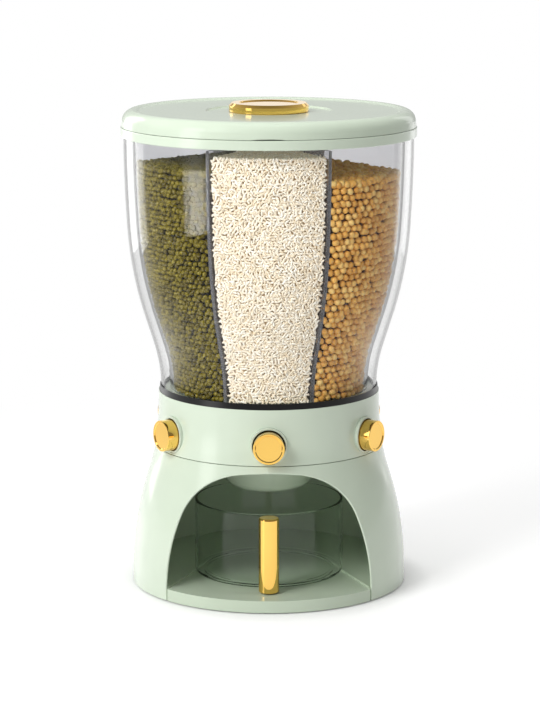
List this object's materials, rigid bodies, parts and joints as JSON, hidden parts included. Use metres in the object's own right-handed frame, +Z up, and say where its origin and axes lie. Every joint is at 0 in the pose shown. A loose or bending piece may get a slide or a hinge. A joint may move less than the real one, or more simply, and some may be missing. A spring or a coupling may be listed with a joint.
{
  "type": "grain dispenser",
  "caption": "Round countertop grain dispenser: clear turning container with compartments, push-button gates, fixed base with a cup in its alcove, and a lift-off lid.",
  "frame": {"origin": "on the table under the turning axis, at the centre of the bounding box's bottom", "axes": "+Z up along the turning axis, front with the cup towards -Y, +X to the viewer's right"},
  "size_m": [0.2916, 0.2916, 0.4812],
  "materials": {
    "shell_green": "smooth glossy light grey-green",
    "tray_green": "satin light grey-green",
    "rubber": "black, matt",
    "silicone": "pale silicone",
    "screw_steel": "plain",
    "cage_white": "plain",
    "gate_white": "plain",
    "gold": "gold-coloured metallised plastic, mirror-like",
    "clear": "clear",
    "cup_clear": "smoky grey-green, clear",
    "rice": "polished rice grains",
    "mung": "olive mung beans",
    "soy": "yellow soybeans"
  },
  "bodies": {
    "base": {"base_shell": "shell_green", "floor_tray": "tray_green", "tray_screws": "screw_steel", "rubber_feet": "rubber", "funnel": "tray_green", "funnel_screws": "screw_steel", "retaining_ring": "tray_green", "retaining_screws": "screw_steel"},
    "bearing": {"ball_cage": "cage_white", "bearing_balls": "screw_steel"},
    "turntable": {"button_ring": "shell_green", "turntable_plate": "tray_green", "turntable_screws": "screw_steel", "outlet_hopper": "tray_green", "hopper_screws": "screw_steel", "gate_plate": "tray_green", "gate_plate_screws": "screw_steel", "container_shell": "clear", "inner_tub": "clear", "container_gasket": "rubber", "divider_frame": "clear", "rice_fill": "rice", "mung_bean_fill": "mung", "soybean_fill": "soy", "rim_band": "shell_green", "button_collar_front": "shell_green", "button_collar_right_front": "shell_green", "button_collar_right_rear": "shell_green", "button_collar_rear": "shell_green", "button_collar_left_rear": "shell_green", "button_collar_left_front": "shell_green", "spring_front": "screw_steel", "spring_right_front": "screw_steel", "spring_right_rear": "screw_steel", "spring_rear": "screw_steel", "spring_left_rear": "screw_steel", "spring_left_front": "screw_steel"},
    "lid": {"lid_cover": "shell_green", "lid_liner": "tray_green", "lid_seal": "silicone", "lid_screws": "screw_steel", "knob": "gold", "knob_washer": "screw_steel", "knob_screw": "screw_steel"},
    "measuring_cup": {"cup": "cup_clear", "cup_handle": "gold", "handle_screws": "screw_steel"},
    "button_body_front": {"button_front": "gold", "gate_front": "gate_white"},
    "button_body_right_front": {"button_right_front": "gold", "gate_right_front": "gate_white"},
    "button_body_right_rear": {"button_right_rear": "gold", "gate_right_rear": "gate_white"},
    "button_body_rear": {"button_rear": "gold", "gate_rear": "gate_white"},
    "button_body_left_rear": {"button_left_rear": "gold", "gate_left_rear": "gate_white"},
    "button_body_left_front": {"button_left_front": "gold", "gate_left_front": "gate_white"}
  },
  "joints": [
    {"name": "container_spin", "type": "hinge", "parent": "base", "child": "turntable", "pos_m": [0, 0, 0.1424], "axis": [0, 0, 1], "continuous": true},
    {"name": "bearing_spin", "type": "hinge", "parent": "base", "child": "bearing", "pos_m": [0, 0, 0.13885], "axis": [0, 0, 1], "continuous": true},
    {"name": "lid_lift", "type": "slide", "parent": "turntable", "child": "lid", "axis": [0, 0, 1], "range_m": [0, 0.06]},
    {"name": "cup_slide", "type": "slide", "parent": "base", "child": "measuring_cup", "axis": [0, -1, 0], "range_m": [0, 0.165]},
    {"name": "button_press_front", "type": "slide", "parent": "turntable", "child": "button_body_front", "axis": [0, 1, 0], "range_m": [0, 0.011], "stiffness_N_per_m": 250, "deforming": ["spring_front"]},
    {"name": "button_press_right_front", "type": "slide", "parent": "turntable", "child": "button_body_right_front", "axis": [-0.848, 0.5299, 0], "range_m": [0, 0.011], "stiffness_N_per_m": 250, "deforming": ["spring_right_front"]},
    {"name": "button_press_right_rear", "type": "slide", "parent": "turntable", "child": "button_body_right_rear", "axis": [-0.848, -0.5299, 0], "range_m": [0, 0.011], "stiffness_N_per_m": 250, "deforming": ["spring_right_rear"]},
    {"name": "button_press_rear", "type": "slide", "parent": "turntable", "child": "button_body_rear", "axis": [0, -1, 0], "range_m": [0, 0.011], "stiffness_N_per_m": 250, "deforming": ["spring_rear"]},
    {"name": "button_press_left_rear", "type": "slide", "parent": "turntable", "child": "button_body_left_rear", "axis": [0.848, -0.5299, 0], "range_m": [0, 0.011], "stiffness_N_per_m": 250, "deforming": ["spring_left_rear"]},
    {"name": "button_press_left_front", "type": "slide", "parent": "turntable", "child": "button_body_left_front", "axis": [0.848, 0.5299, 0], "range_m": [0, 0.011], "stiffness_N_per_m": 250, "deforming": ["spring_left_front"]}
  ],
  "couplings": [
    {"joint": "bearing_spin", "follows": "container_spin", "ratio": 0.5}
  ]
}
